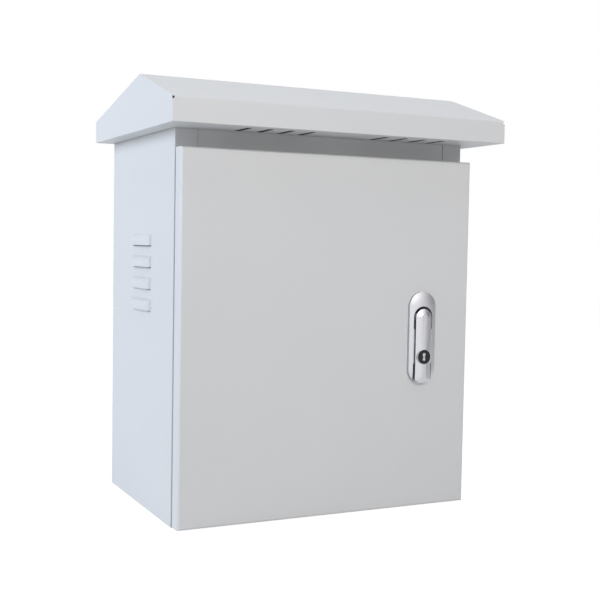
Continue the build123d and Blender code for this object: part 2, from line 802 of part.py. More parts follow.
# Cam: a flat tongue that swings behind the frame flange
tip_z = spindle_z + cam_reach - cam_half
cam = slab(-cam_half, cam_half, spindle_z, tip_z, cam_w0, cam_w1)
cam += disc(spindle_z, cam_half, cam_w0, cam_w1) + disc(tip_z, cam_half, cam_w0, cam_w1)
cam -= slab(-half_square, half_square, square_low, square_high, cam_w0 - 1, cam_w1 + 1)
washer_w0 = cam_w0 - cam_washer_thick
cam_washer = disc(spindle_z, cam_washer_radius, washer_w0, cam_w0)
cam_washer -= disc(spindle_z, spindle_end_radius, washer_w0 - 1, cam_w0 + 1)
cam_nut = lock_nut(spindle_z, m6_across, spindle_end_radius, washer_w0 - m6_nut, washer_w0)
save("latch_cam", outward(cam))
save("cam_washer", outward(cam_washer))
save("cam_nut", outward(cam_nut))


# Lever: bevelled bar with a round head, a boss for the pin and a seat for the key cylinder
def bevelled_round(z, radius):
    # A round end: an upright edge, then a cone up to the top
    edge = lever_under + lever_edge
    slope = lever_half - lever_flat
    cone = Pos(0, z, (edge + lever_top) / 2) * Cone(radius, radius - slope, lever_top - edge)
    return disc(z, radius, lever_under, edge) + cone


lever_section = make_face(
    Polyline(
        (-lever_half, lever_under),
        (-lever_half, lever_under + lever_edge),
        (-lever_flat, lever_top),
        (lever_flat, lever_top),
        (lever_half, lever_under + lever_edge),
        (lever_half, lever_under),
        close=True,
    )
)
bar = Pos(0, spindle_z, 0) * Rot(90, 0, 0) * extrude(lever_section, spindle_z - lock_low)
end_round = bevelled_round(end_low, lock_half - lever_end_inset)
upper_keep = slab(-2 * lever_half, 2 * lever_half, end_low, spindle_z, 0, 2 * lever_top)
lever = (bar & (upper_keep + end_round)) + bevelled_round(spindle_z, lever_half)
lever += disc(key_z, key_boss_radius, lever_under, lever_top)
boss = disc(spindle_z, boss_radius, boss_bottom, lever_under)
boss -= slab(-boss_radius, boss_radius, spindle_z + boss_above_pin, spindle_z + 2 * boss_radius, 0, lever_under)
lever += boss
slot_half = tongue_half + slot_play
slot_top = pin_height + tongue_round + slot_play
slot_low, slot_high = spindle_z - slot_half_length, spindle_z + slot_half_length
lever -= slab(-slot_half, slot_half, slot_low, slot_high, boss_bottom - 1, slot_top)
lever_pin = Pos(0, spindle_z, pin_height) * Rot(0, 90, 0) * Cylinder(pin_radius, 2 * pin_half)
lever -= lever_pin
lever -= disc(key_z, barrel_radius + barrel_fit, lever_under - 1, lever_top + 1)
grip_low = key_z + key_boss_radius + grip_margin
grip_high = spindle_z - boss_radius - grip_margin
lever -= slab(-grip_half, grip_half, grip_low, grip_high, lever_under - 1, lever_under + grip_hollow)
save("lever", outward(lever))
save("lever_pin", outward(lever_pin))

# Key cylinder: barrel in the lever, turning plug, and a cap with a keyhole window
barrel = disc(key_z, barrel_radius, barrel_bottom, lever_top)
barrel -= disc(key_z, plug_radius + plug_play, barrel_bottom + barrel_floor, lever_top + 1)
plug_w0 = barrel_bottom + barrel_floor + plug_recess
plug_w1 = lever_top - plug_recess
plug = disc(key_z, plug_radius, plug_w0, plug_w1)
half_slot = key_slot_width / 2
half_key = key_slot_length / 2
plug -= slab(-half_slot, half_slot, key_z - half_key, key_z + half_key, plug_w1 - key_slot_depth, plug_w1 + 1)
cap = disc(key_z, cap_radius, lever_top, lever_top + cap_thick)
cap = chamfer(cap.edges().sort_by(Axis.Z)[-1], 0.4)
window = disc(key_z + window_top, window_top_radius, lever_top - 1, lever_top + 2)
window += disc(key_z + window_foot, window_foot_radius, lever_top - 1, lever_top + 2)
window_z0, window_z1 = key_z + window_foot, key_z + window_top
window += slab(-window_waist, window_waist, window_z0, window_z1, lever_top - 1, lever_top + 2)
cap -= window
save("key_barrel", outward(barrel))
save("key_plug", outward(plug))
save("key_cap", outward(cap))

print("overall height", ridge_z, "width", 2 * hood_half, "depth", hood_y1 - hood_y0)
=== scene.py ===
import json
import math

import bmesh
import bpy
from mathutils import Matrix, Vector


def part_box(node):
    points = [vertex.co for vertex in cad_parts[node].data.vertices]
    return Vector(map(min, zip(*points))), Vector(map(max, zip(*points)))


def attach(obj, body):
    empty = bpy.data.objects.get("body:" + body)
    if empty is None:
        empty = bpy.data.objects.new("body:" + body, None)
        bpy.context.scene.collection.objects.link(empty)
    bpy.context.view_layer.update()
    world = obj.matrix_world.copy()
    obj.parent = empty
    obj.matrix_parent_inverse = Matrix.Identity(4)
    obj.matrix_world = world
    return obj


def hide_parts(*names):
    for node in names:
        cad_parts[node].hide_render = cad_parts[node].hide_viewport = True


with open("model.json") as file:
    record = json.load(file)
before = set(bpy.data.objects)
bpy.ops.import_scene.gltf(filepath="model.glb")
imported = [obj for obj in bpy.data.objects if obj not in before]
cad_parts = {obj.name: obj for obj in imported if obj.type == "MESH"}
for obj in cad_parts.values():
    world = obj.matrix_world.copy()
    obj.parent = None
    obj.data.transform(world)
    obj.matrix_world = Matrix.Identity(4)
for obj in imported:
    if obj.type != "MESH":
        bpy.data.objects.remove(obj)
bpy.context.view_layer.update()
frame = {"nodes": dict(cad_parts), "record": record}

nodes = frame["nodes"]
mm = 0.001
near = 0.01   # mm, how close a point has to be to count as lying on a face
print("stage: frame loaded,", len(nodes), "nodes")


def linear(hexColour):
    # sRGB hex to linear RGBA
    out = []
    for i in (0, 2, 4):
        c = int(hexColour[i:i + 2], 16) / 255
        out.append(c / 12.92 if c <= 0.04045 else ((c + 0.055) / 1.055) ** 2.4)
    return (*out, 1.0)


def addNode(tree, kind, settings=None, inputs=None, links=None):
    # One node with its settings, its unlinked inputs and the sockets that feed it
    node = tree.nodes.new(kind)
    for name, value in (settings or {}).items():
        setattr(node, name, value)
    for name, value in (inputs or {}).items():
        node.inputs[name].default_value = value
    for name, source in (links or {}).items():
        tree.links.new(source, node.inputs[name])
    return node


def blankMaterial(name):
    material = bpy.data.materials.new(name)
    material.use_nodes = True
    material.node_tree.nodes.clear()
    return material, material.node_tree


# The camera stands at the photograph's viewing angle
cameraSet = {
    "place": (-605.6, -1303.5, 343.2),   # mm
    "yaw": 25.922, "pitch": 3.199, "roll": 1.009,   # degrees
    "focal": 1052.54, "frame": 600,   # pixels
    "sensor": 36,   # mm
    "nearest": 0.01, "farthest": 50,   # m
}


def makeCamera(s):
    yaw, pitch, roll = (math.radians(s[k]) for k in ("yaw", "pitch", "roll"))
    forward = Vector((math.sin(yaw) * math.cos(pitch), math.cos(yaw) * math.cos(pitch), -math.sin(pitch)))
    right = Vector((math.cos(yaw), -math.sin(yaw), 0))
    up = right.cross(forward)
    turnedRight = right * math.cos(roll) + up * math.sin(roll)
    turnedUp = up * math.cos(roll) - right * math.sin(roll)
    data = bpy.data.cameras.new("camera")
    data.sensor_width = s["sensor"]
    data.lens = s["focal"] / s["frame"] * s["sensor"]
    data.clip_start, data.clip_end = s["nearest"], s["farthest"]
    camera = bpy.data.objects.new("camera", data)
    axes = Matrix((turnedRight, turnedUp, -forward)).transposed().to_4x4()
    camera.matrix_world = Matrix.Translation(Vector(s["place"]) * mm) @ axes
    bpy.context.scene.collection.objects.link(camera)
    bpy.context.scene.camera = camera


makeCamera(cameraSet)
bpy.context.scene.view_settings.view_transform = "Standard"

# Floor, card, sky and lamps, in metres; the bounce is what the floor gives back to the object
studio = {
    "floor": "F2F2F2", "floorBounce": "DADADA", "floorSize": 8.0, "paperShare": 0.30, "paperGlow": 0.92,
    "cardPlace": (1.9, -0.8, 0.5), "cardSize": 2.4, "cardGrey": "5C5C5F",
    "skyLight": 0.30, "skyTint": "F4F7FF",
    "keyPower": 46.0, "keyTint": "FFFCF9", "keySize": 1.5, "keyPlace": (0.1, -2.8, 1.65),
    "sidePower": 57.0, "sideTint": "E2EDFC", "sideSize": 1.8, "sidePlace": (-2.6, 0.35, 1.2),
    "topPower": 14.0, "topTint": "E8F0FF", "topSize": 2.0, "topPlace": (-0.3, -0.6, 2.6),
    "lampAim": (0, 0, 0.28),
}


def whiteForCamera(tree, plain, glow):
    # Camera, glossy and transmission rays see a plain white; the rest see the plain shader
    path = addNode(tree, "ShaderNodeLightPath").outputs
    seen = path["Is Camera Ray"]
    for ray in ("Is Glossy Ray", "Is Transmission Ray"):
        seen = addNode(tree, "ShaderNodeMath", {"operation": "MAXIMUM"}, links={0: seen, 1: path[ray]}).outputs[0]
    return addNode(tree, "ShaderNodeMixShader", links={0: seen, 1: plain, 2: glow}).outputs[0]


def squareCorners(size):
    h = size / 2
    return (-h, -h), (h, -h), (h, h), (-h, h)


def addSquare(name, corners, material):
    # A flat stage piece with one face
    mesh = bpy.data.meshes.new(name)
    mesh.from_pydata(corners, [], [(0, 1, 2, 3)])
    mesh.materials.append(material)
    square = bpy.data.objects.new(name, mesh)
    bpy.context.scene.collection.objects.link(square)
    return square


def makeFloor(s):
    # White paper, open from below
    material, tree = blankMaterial("whitePaperFloor")
    paper = addNode(tree, "ShaderNodeBsdfDiffuse", inputs={"Color": linear(s["floor"])})
    bounce = addNode(tree, "ShaderNodeBsdfDiffuse", inputs={"Color": linear(s["floorBounce"])})
    glow = addNode(tree, "ShaderNodeEmission", inputs={"Strength": s["paperGlow"]})
    share = addNode(tree, "ShaderNodeMixShader", inputs={0: s["paperShare"]}, links={2: paper.outputs[0]})
    lit = addNode(tree, "ShaderNodeAddShader", links={0: share.outputs[0], 1: glow.outputs[0]})
    seenSide = whiteForCamera(tree, bounce.outputs[0], lit.outputs[0])
    clear = addNode(tree, "ShaderNodeBsdfTransparent")
    behind = addNode(tree, "ShaderNodeNewGeometry").outputs["Backfacing"]
    surface = addNode(tree, "ShaderNodeMixShader", links={0: behind, 1: seenSide, 2: clear.outputs[0]})
    addNode(tree, "ShaderNodeOutputMaterial", links={"Surface": surface.outputs[0]})
    floor = addSquare("floor", [(x, y, 0) for x, y in squareCorners(s["floorSize"])], material)


def makeCard(s):
    # A grey card on the right that only shiny surfaces see, as photographers set beside metal
    material, tree = blankMaterial("greyCardboard")
    grey = addNode(tree, "ShaderNodeEmission", inputs={"Color": linear(s["cardGrey"]), "Strength": 1.0})
    addNode(tree, "ShaderNodeOutputMaterial", links={"Surface": grey.outputs[0]})
    middle = Vector(s["cardPlace"])
    card = addSquare("greyCard", [middle + Vector((0, y, z)) for y, z in squareCorners(s["cardSize"])], material)
    for ray in ("camera", "diffuse", "shadow", "transmission", "volume_scatter"):
        setattr(card, "visible_" + ray, False)


def makeSky(s):
    world = bpy.data.worlds.new("softSky")
    world.use_nodes = True
    tree = world.node_tree
    tree.nodes.clear()
    sky = addNode(tree, "ShaderNodeBackground", inputs={"Color": linear(s["skyTint"]), "Strength": s["skyLight"]})
    white = addNode(tree, "ShaderNodeBackground", inputs={"Color": (1, 1, 1, 1), "Strength": 1.0})
    addNode(tree, "ShaderNodeOutputWorld", links={"Surface": whiteForCamera(tree, sky.outputs[0], white.outputs[0])})
    bpy.context.scene.world = world


def makeLamp(name, s):
    lamp = bpy.data.lights.new(name + "Lamp", "AREA")
    lamp.shape = "DISK"
    lamp.size = s[name + "Size"]
    lamp.energy = s[name + "Power"]
    lamp.color = linear(s[name + "Tint"])[:3]
    holder = bpy.data.objects.new(name + "Lamp", lamp)
    place = Vector(s[name + "Place"])
    turn = (Vector(s["lampAim"]) - place).to_track_quat("-Z", "Y")
    holder.matrix_world = Matrix.Translation(place) @ turn.to_matrix().to_4x4()
    bpy.context.scene.collection.objects.link(holder)


makeFloor(studio)
makeCard(studio)
makeSky(studio)
for lampName in ("key", "side", "top"):
    makeLamp(lampName, studio)
print("stage: camera, floor and lamps")


def startMaterial(name, shader):
    # A new material with one Principled shader whose plain values are set on its own sockets
    material, tree = blankMaterial(name)
    surface = addNode(tree, "ShaderNodeBsdfPrincipled", inputs=shader)
    addNode(tree, "ShaderNodeOutputMaterial", links={"Surface": surface.outputs["BSDF"]})
    place = addNode(tree, "ShaderNodeTexCoord").outputs["Object"]
    return material, tree, surface, place


def dressSurface(tree, surface, s, tintBy, glossBy, reliefBy):
    # Mixes the two colours, spreads the roughness and raises the relief, each by its own pattern
    tint = addNode(tree, "ShaderNodeMix", {"data_type": "RGBA"},
                   {6: linear(s["colour"]), 7: linear(s["shift"])}, {0: tintBy})
    gloss = addNode(tree, "ShaderNodeMapRange", inputs={3: s["gloss"][0], 4: s["gloss"][1]}, links={0: glossBy})
    grain = addNode(tree, "ShaderNodeBump", inputs={"Strength": s["relief"], "Distance": s["depth"] * mm},
                    links={"Height": reliefBy})
    tree.links.new(tint.outputs[2], surface.inputs["Base Color"])
    tree.links.new(gloss.outputs[0], surface.inputs["Roughness"])
    tree.links.new(grain.outputs[0], surface.inputs["Normal"])


def grainScale(size):
    # The noise scale at which grains are this wide in mm: a cell of the noise holds about two
    return 1000 / size / 2


# In each finish, gloss is the span of the roughness, relief the strength of the bump and depth its height in mm.
# Peel, crystal, scratch, blast, pore and spark are widths in mm, and cloud is a noise scale.
coat = {"colour": "CFCFCE", "shift": "CBCCCC", "gloss": (0.40, 0.48), "relief": 0.35, "depth": 0.014,
        "cloud": 9.0, "peel": 1.1}


def powderCoat(s):
    # Polyester powder coat on folded steel: light grey, half matt, with a fine orange peel
    material, tree, surface, place = startMaterial("powderCoatedSteel", {"IOR": 1.5})
    cloud = addNode(tree, "ShaderNodeTexNoise", inputs={"Scale": s["cloud"], "Detail": 3.0}, links={"Vector": place})
    peel = addNode(tree, "ShaderNodeTexNoise", inputs={"Scale": grainScale(s["peel"]), "Detail": 2.0, "Roughness": 0.4},
                   links={"Vector": place})
    dressSurface(tree, surface, s, cloud.outputs["Fac"], peel.outputs["Fac"], peel.outputs["Fac"])
    return material


zinc = {"colour": "9DA2A8", "shift": "B9BDC1", "gloss": (0.34, 0.52), "relief": 0.25, "depth": 0.02,
        "crystal": 14.0, "scratch": 0.6}


def zincPlate(s):
    # Hot dip zinc on steel: bluish silver with flat crystal grains and a soft, uneven shine
    material, tree, surface, place = startMaterial("galvanisedSteel", {"Metallic": 1.0})
    spangle = addNode(tree, "ShaderNodeTexVoronoi", inputs={"Scale": 1000 / s["crystal"]}, links={"Vector": place})
    grey = addNode(tree, "ShaderNodeSeparateColor", links={0: spangle.outputs["Color"]})
    fine = addNode(tree, "ShaderNodeTexNoise", inputs={"Scale": grainScale(s["scratch"]), "Detail": 3.0},
                   links={"Vector": place})
    dressSurface(tree, surface, s, grey.outputs[0], grey.outputs[1], fine.outputs["Fac"])
    return material


satin = {"colour": "C3C3C7", "shift": "BBBCC0", "gloss": (0.38, 0.47), "relief": 0.2, "depth": 0.01,
         "cloud": 60.0, "blast": 0.35}


def satinChrome(s):
    # Satin chrome on a zinc casting: cool silver, softly blurred, with a fine bead-blasted grain
    material, tree, surface, place = startMaterial("satinChromedZinc", {"Metallic": 1.0})
    cloud = addNode(tree, "ShaderNodeTexNoise", inputs={"Scale": s["cloud"], "Detail": 2.0}, links={"Vector": place})
    blast = addNode(tree, "ShaderNodeTexNoise", inputs={"Scale": grainScale(s["blast"]), "Detail": 2.0},
                    links={"Vector": place})
    dressSurface(tree, surface, s, cloud.outputs["Fac"], cloud.outputs["Fac"], blast.outputs["Fac"])
    return material


rubber = {"colour": "2B2C2D", "shift": "37383A", "gloss": (0.74, 0.88), "relief": 0.5, "depth": 0.08,
          "cloud": 45.0, "pore": 0.8}


def foamRubber(s):
    # Foamed sealing rubber: nearly black and matt, with small closed pores and a little dust
    material, tree, surface, place = startMaterial("sealRubber", {"IOR": 1.5})
    pores = addNode(tree, "ShaderNodeTexVoronoi", inputs={"Scale": 1000 / s["pore"]}, links={"Vector": place})
    cloud = addNode(tree, "ShaderNodeTexNoise", inputs={"Scale": s["cloud"], "Detail": 3.0}, links={"Vector": place})
    dressSurface(tree, surface, s, cloud.outputs["Fac"], cloud.outputs["Fac"], pores.outputs["Distance"])
    return material


nylon = {"colour": "131415", "shift": "191A1C", "gloss": (0.38, 0.5), "relief": 0.3, "depth": 0.02, "spark": 0.25}


def mouldedNylon(s):
    # Moulded black nylon: deep grey, half matt, with the grain of a spark-eroded mould
    material, tree, surface, place = startMaterial("mouldedNylon", {"IOR": 1.53, "Specular IOR Level": 0.28})
    spark = addNode(tree, "ShaderNodeTexNoise", inputs={"Scale": grainScale(s["spark"]), "Detail": 2.0},
                    links={"Vector": place}).outputs["Fac"]
    dressSurface(tree, surface, s, spark, spark, spark)
    return material


finishes = {
    "body_paint": powderCoat(coat),
    "zinc_steel": zincPlate(zinc),
    "satin_chrome": satinChrome(satin),
    "seal_rubber": foamRubber(rubber),
    "black_plastic": mouldedNylon(nylon),
}
record = frame["record"]
slotOf = {part["node"]: part["material_slot"] for part in record["subparts"]}
bodyOf = {name: body for body, members in record["behaviour"]["bodies"].items() for name in members}
for name, obj in nodes.items():
    obj.data.materials.clear()
    obj.data.materials.append(finishes[slotOf[name]])
print("stage: finishes")


def placeMesh(mesh, pieceName, slot):
    mesh.name = pieceName
    mesh.materials.clear()
    mesh.materials.append(finishes[slot])
    piece = bpy.data.objects.new(pieceName, mesh)
    bpy.context.scene.collection.objects.link(piece)
    return piece


def addPiece(mesh, pieceName, name):
    # A finished mesh takes the place, the body and the finish of its CAD node
    piece = placeMesh(mesh, pieceName, slotOf[name])
    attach(piece, bodyOf[name])
    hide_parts(name)
    return piece


# Small moves of a copy's points bring it nearer to the photographed piece, all in mm
hoodFit = {"lower": 2.0}   # the skirt reaches a little lower


def fitHood(p, s):
    if p.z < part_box("rain_hood")[0].z / mm + near:
        p.z -= s["lower"]


# A thinner sheet as low as the skirt, with open slots and a shadow joint round the body
soffitFit = {
    "lower": hoodFit["lower"], "sheet": 1.5, "thin": 0.3,
    "slotMiddle": -148.5, "slotGroups": (-82.75, 100.75), "slotPitch": 27.5, "slotsAside": 2,
    "slotHalf": 2.02, "slotReach": 17.6, "slotWiden": 1.9, "slotLonger": 8.0,
    "jointFront": -127.5, "jointSide": 200.0, "jointDeep": 2.0, "jointOpen": 1.3,
}


def fitSoffit(p, s):
    if abs(p.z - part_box("hood_soffit")[0].z / mm - s["sheet"]) < near:
        p.z -= s["sheet"] - s["thin"]
    for group in s["slotGroups"]:
        slot = round((p.x - group) / s["slotPitch"] - 0.5) + 0.5
        across = p.x - group - slot * s["slotPitch"]
        alongSlot = abs(slot) < s["slotsAside"] and abs(p.y - s["slotMiddle"]) < s["slotReach"]
        if alongSlot and abs(across) < s["slotHalf"]:
            p.x += across * (s["slotWiden"] - 1)
            p.y -= s["slotLonger"] if p.y < s["slotMiddle"] else 0
    if 0 < s["jointFront"] - p.y < s["jointDeep"] and abs(p.x) < s["jointSide"] + s["jointDeep"]:
        p.y -= s["jointOpen"]
    if 0 < abs(p.x) - s["jointSide"] < s["jointDeep"]:
        p.x += math.copysign(s["jointOpen"], p.x)
    p.z -= s["lower"]


doorFit = {"rear": -131.0, "shorter": 1.0}   # a clearer shadow line behind the door


def fitDoor(p, s):
    if p.y > s["rear"] - near:
        p.y -= s["shorter"]


# The open slots under the louvres are narrower
louvreFit = {
    "first": 253.0, "pitch": 27.2, "drop": 1.7, "rise": 0.9, "offPitch": 0.002,
    "wall": 196.9, "middle": -5, "reach": 38,
}


def fitLouvres(p, s):
    steps = (p.z + s["drop"] - s["first"]) / s["pitch"]
    onSlot = abs(p.x) > s["wall"] and abs(p.y - s["middle"]) < s["reach"]
    if onSlot and abs(steps - round(steps)) < s["offPitch"]:
        p.z += s["rise"]


lockX = 128.5   # mm, the lock's middle

# A steeper outer wall, and a shallower tray beside the lever
lockBaseFit = {
    "endLow": 181.5, "endHigh": 261.5, "half": 19.5, "doorFace": -151.5,
    "edge": 2.2, "edgeWall": 2.2, "edgeTop": 4.505, "edgeNewTop": 4.24, "edgeIn": 0.5, "edgeHeight": 0.3,
    "restFloor": 2.8, "restRise": 2.1,
}


def fitLockBase(p, s):
    beyond = p.z - min(max(p.z, s["endLow"]), s["endHigh"])
    across = p.x - lockX
    reach = math.hypot(across, beyond)
    inside, height = s["half"] - reach, s["doorFace"] - p.y
    if abs(height - s["restFloor"]) < near:
        p.y -= s["restRise"]
    if inside < s["edge"] + near and height > s["edgeWall"] - near:
        grow = (s["half"] - inside * s["edgeIn"]) / reach
        p.x += across * (grow - 1)
        p.z += beyond * (grow - 1)
        p.y = s["doorFace"] - (s["edgeNewTop"] - (s["edgeTop"] - height) * s["edgeHeight"])


leverFit = {"from": 7.2, "ramp": 3, "widen": 0.088}   # wider from this far out, fully so after the ramp


def fitLever(p, s):
    across = p.x - lockX
    p.x += across * s["widen"] * min(max((abs(across) - s["from"]) / s["ramp"], 0), 1)


capFit = {"thick": 1.1, "thin": 0.5}


def fitCap(p, s):
    if p.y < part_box("key_cap")[0].y / mm + near:
        p.y += s["thick"] - s["thin"]


plugFit = {"rise": 0.15, "grooveHalf": 0.35, "grooveShare": 0.5}   # a plain bright face with a narrow groove


def fitPlug(p, s):
    if p.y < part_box("key_plug")[0].y / mm + near:
        p.y -= s["rise"]
    if abs(p.x - lockX) < s["grooveHalf"] + near:
        p.x = lockX + (p.x - lockX) * s["grooveShare"]


fits = {
    "key_cap": (fitCap, capFit), "key_plug": (fitPlug, plugFit),
    "rain_hood": (fitHood, hoodFit), "hood_soffit": (fitSoffit, soffitFit),
    "door_panel": (fitDoor, doorFit), "body_wrap": (fitLouvres, louvreFit),
    "lock_base": (fitLockBase, lockBaseFit), "lever": (fitLever, leverFit),
}
cleaning = {"merge": 0.002, "flatBelow": 0.2}   # mm, degrees


def mergedTriangles(name):
    # A CAD node's loose triangles as one closed mesh
    bm = bmesh.new()
    bm.from_mesh(nodes[name].data)
    bmesh.ops.remove_doubles(bm, verts=bm.verts, dist=cleaning["merge"] * mm)
    return bm


def fittedCopy(name):
    # The closed mesh with its points moved to fit and its flat faces joined
    bm = mergedTriangles(name)
    if name in fits:
        fit, sizes = fits[name]
        for vert in bm.verts:
            point = vert.co / mm
            fit(point, sizes)
            vert.co = point * mm
    bmesh.ops.dissolve_limit(bm, angle_limit=math.radians(cleaning["flatBelow"]), verts=bm.verts, edges=bm.edges)
    return bm


# Pieces that keep their node's shape, apart from the fits, with edges eased as paint or casting eases them, in mm
easedPieces = {
    "foldedBodySkin": ("body_wrap", 0.25), "bodyTopPanel": ("body_top", 0.25),
    "gabledRainHood": ("rain_hood", 0.30), "slottedSoffit": ("hood_soffit", 0.0),
    "foldedDoor": ("door_panel", 0.30), "devicePlate": ("mounting_plate", 0.20),
    "castLockBase": ("lock_base", 0.30), "castLever": ("lever", 0.45),
    # The lever's black glide pad shows as a dark crescent round its head: a real pad, whose black also stands in for
    # the shade in the gap there (painted shade)
    "leverPadAndGapShade": ("lever_pad", 0.08), "keyBarrelFace": ("key_barrel", 0.10),
    "keyholeCap": ("key_cap", 0.22), "keyPlugFace": ("key_plug", 0.08),
    "turnedSpindle": ("lock_spindle", 0.25), "clampStrap": ("lock_clamp_plate", 0.20),
    "ringNut": ("lock_ring_nut", 0.35), "latchCam": ("latch_cam", 0.35),
    "hingeBrackets": ("hinge_brackets", 0.30), "hingeLeaves": ("hinge_leaves", 0.30),
    "hingeScrews": ("hinge_screws", 0.25), "hingePins": ("hinge_pins", 0.25),
    "glandPlate": ("gland_plate", 0.20), "cableGrommets": ("cable_grommets", 0.35),
    "plateWashers": ("plate_washers", 0.20), "plateSpacers": ("plate_spacers", 0.30),
}
easing = {"sharpFrom": 28.0, "steps": 2, "smoothBelow": 30.0}   # degrees, steps, degrees

# The skirt turns under into the soffit; mm, and steeper in radians
foldedLip = {"height": 473.0, "within": 0.6, "steeper": 1.2, "round": 0.8, "steps": 5}


def roundLip(bm, s):
    # Rounds the outer edge along the bottom of the hood's skirt
    side, front = (max(abs(v.co[i]) for v in bm.verts) - near * mm for i in (0, 1))
    back = max(v.co.y for v in bm.verts) - near * mm

    def onLip(p):
        outside = abs(p.x) > side or abs(p.y) > front or p.y > back
        return outside and abs(p.z / mm - s["height"]) < s["within"]

    low = [e for e in bm.edges if all(onLip(v.co) for v in e.verts)]
    low = [e for e in low if len(e.link_faces) == 2 and e.calc_face_angle(0.0) > s["steeper"]]
    bmesh.ops.bevel(bm, geom=low, offset=s["round"] * mm, offset_type="OFFSET", segments=s["steps"],
                    profile=0.5, affect="EDGES", clamp_overlap=True)
    return len(low)


def easeEdges(name, width, s):
    bm = fittedCopy(name)
    if name == "rain_hood":
        print("  lip edges rounded:", roundLip(bm, foldedLip))
    sharp = math.radians(s["sharpFrom"])
    corners = [e for e in bm.edges if len(e.link_faces) == 2 and e.calc_face_angle(0.0) > sharp]
    if width:
        bmesh.ops.bevel(bm, geom=corners, offset=width * mm, offset_type="OFFSET", segments=s["steps"],
                        profile=0.5, affect="EDGES", clamp_overlap=True, loop_slide=True)
    mesh = bpy.data.meshes.new(name)
    bm.to_mesh(mesh)
    bm.free()
    for face in mesh.polygons:
        face.use_smooth = True
    mesh.set_sharp_from_angle(angle=math.radians(s["smoothBelow"]))
    return mesh


def evenNormals(piece):
    # Large flat faces keep their own normals, and the eased edges blend into them
    evener = piece.modifiers.new("evenNormals", "WEIGHTED_NORMAL")
    evener.mode = "FACE_AREA"
    evener.weight = 100
    evener.keep_sharp = True


# The folded corner where the gable, the skirt and the front slope meet is left open by a small round relief, in mm
cornerRelief = {"radius": 1.7, "length": 5.0, "corner": (224.0, -190.0, 499.6), "aim": (1.0, -0.9, 0.55), "sides": 20}


def openCorners(mesh, s):
    # Takes a small round hole out of both front corners of the hood
    bm = bmesh.new()
    radius = s["radius"] * mm
    for side in (-1, 1):
        x, y, z = s["corner"]
        aim = Vector((side * s["aim"][0], s["aim"][1], s["aim"][2])).to_track_quat("Z", "Y")
        place = Matrix.Translation(Vector((side * x, y, z)) * mm) @ aim.to_matrix().to_4x4()
        bmesh.ops.create_cone(bm, cap_ends=True, segments=s["sides"], radius1=radius, radius2=radius,
                              depth=s["length"] * mm, matrix=place)
    tool = bpy.data.meshes.new("reliefTool")
    bm.to_mesh(tool)
    bm.free()
    cutter = bpy.data.objects.new("reliefTool", tool)
    hood = bpy.data.objects.new("hoodToCut", mesh)
    for obj in (cutter, hood):
        bpy.context.scene.collection.objects.link(obj)
    cut = hood.modifiers.new("cut", "BOOLEAN")
    cut.object, cut.operation, cut.solver = cutter, "DIFFERENCE", "EXACT"
    done = bpy.data.meshes.new_from_object(hood.evaluated_get(bpy.context.evaluated_depsgraph_get()))
    for obj in (hood, cutter):
        bpy.data.objects.remove(obj)
    return done


for pieceName, (name, width) in easedPieces.items():
    mesh = easeEdges(name, width, easing)
    if name == "rain_hood":
        mesh = openCorners(mesh, cornerRelief)
    piece = addPiece(mesh, pieceName, name)
    evenNormals(piece)
    print("  piece", pieceName, len(piece.data.polygons), "faces")
print("stage: eased sheet metal and castings")


def islands(name):
    # The box of each separate solid in a node, in a fixed order
    bm = mergedTriangles(name)
    left, boxes = set(bm.verts), []
    while left:
        group, front = set(), [next(iter(left))]
        while front:
            vert = front.pop()
            if vert not in group:
                group.add(vert)
                front += [e.other_vert(vert) for e in vert.link_edges]
        left -= group
        low = Vector([min(v.co[i] for v in group) for i in range(3)])
        high = Vector([max(v.co[i] for v in group) for i in range(3)])
        boxes.append((low, high))
    bm.free()
    return sorted(boxes, key=lambda box: tuple(round(v, 5) for v in box[0]))


def startTree(name, sockets):
    # A Geometry Nodes tree with named inputs, each with its kind and first value
    tree = bpy.data.node_groups.new(name, "GeometryNodeTree")
    tree.interface.new_socket(name="Geometry", in_out="INPUT", socket_type="NodeSocketGeometry")
    for label, (kind, value) in sockets.items():
        socket = tree.interface.new_socket(name=label, in_out="INPUT", socket_type="NodeSocket" + kind)
        if value is not None:
            socket.default_value = value
    tree.interface.new_socket(name="Geometry", in_out="OUTPUT", socket_type="NodeSocketGeometry")
    return tree, addNode(tree, "NodeGroupInput").outputs


def calculate(tree, operation, *values):
    # One sum in a tree: sockets are linked, numbers are set
    node = addNode(tree, "ShaderNodeMath", {"operation": operation})
    for i, value in enumerate(values):
        if isinstance(value, (int, float)):
            node.inputs[i].default_value = value
        else:
            tree.links.new(value, node.inputs[i])
    return node.outputs[0]


def pointPlace(tree):
    # Where each point is, as three sockets
    position = addNode(tree, "GeometryNodeInputPosition").outputs[0]
    return addNode(tree, "ShaderNodeSeparateXYZ", links={0: position}).outputs


def endTree(tree, shape, given):
    # Makes the shape real and gives it its finish
    real = addNode(tree, "GeometryNodeRealizeInstances", links={"Geometry": shape})
    done = addNode(tree, "GeometryNodeSetMaterial", links={"Geometry": real.outputs[0], "Material": given["Finish"]})
    addNode(tree, "NodeGroupOutput", links={"Geometry": done.outputs[0]})


def spreadAlongAxis(tree, shape, given, smooth):
    # Puts the shape on every point along the axis and turns each one a little
    soft = addNode(tree, "GeometryNodeSetShadeSmooth", inputs={"Shade Smooth": smooth}, links={"Geometry": shape})
    aim = addNode(tree, "FunctionNodeAlignRotationToVector", {"axis": "Z"}, links={"Vector": given["Axis"]})
    spin = addNode(tree, "FunctionNodeRandomValue", {"data_type": "FLOAT"},
                   links={3: given["Spin"], "Seed": given["Seed"]})
    spread = addNode(tree, "GeometryNodeInstanceOnPoints", links={
        "Points": given["Geometry"], "Instance": soft.outputs[0], "Rotation": aim.outputs[0]})
    around = addNode(tree, "ShaderNodeCombineXYZ", links={"Z": spin.outputs[1]})
    turned = addNode(tree, "GeometryNodeRotateInstances", inputs={"Local Space": True}, links={
        "Instances": spread.outputs[0], "Rotation": around.outputs[0]})
    endTree(tree, turned.outputs[0], given)


